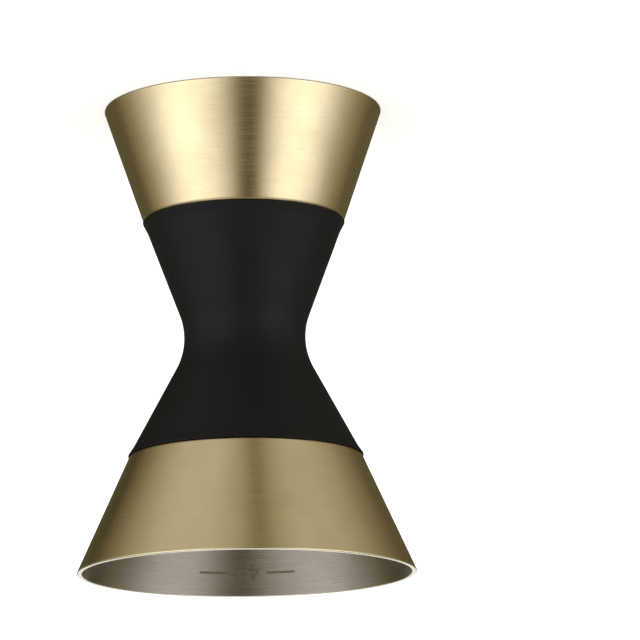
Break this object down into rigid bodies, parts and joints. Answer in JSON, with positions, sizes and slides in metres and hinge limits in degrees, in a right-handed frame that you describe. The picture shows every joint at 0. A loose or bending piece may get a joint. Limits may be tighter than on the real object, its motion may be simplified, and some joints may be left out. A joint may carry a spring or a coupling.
{
  "type": "bar jigger",
  "caption": "Double-ended bar jigger: a large and a small conical metal cup joined floor to floor, with a soft black grip around the waist.",
  "frame": {"origin": "centre of the small rim's plane, on which the jigger rests", "axes": "+Z along the jigger's axis of revolution, from the small rim up to the large rim; X and Y are any two directions across it"},
  "size_m": [0.057, 0.057, 0.08],
  "materials": {
    "gold_steel": "satin gold plating outside, bare brushed steel inside",
    "weld_metal": "as welded",
    "grip_rubber": "matt moulded silicone rubber"
  },
  "bodies": {
    "root": {"large_cup": "gold_steel", "small_cup": "gold_steel", "waist_weld": "weld_metal", "grip_sleeve": "grip_rubber"}
  },
  "joints": []
}
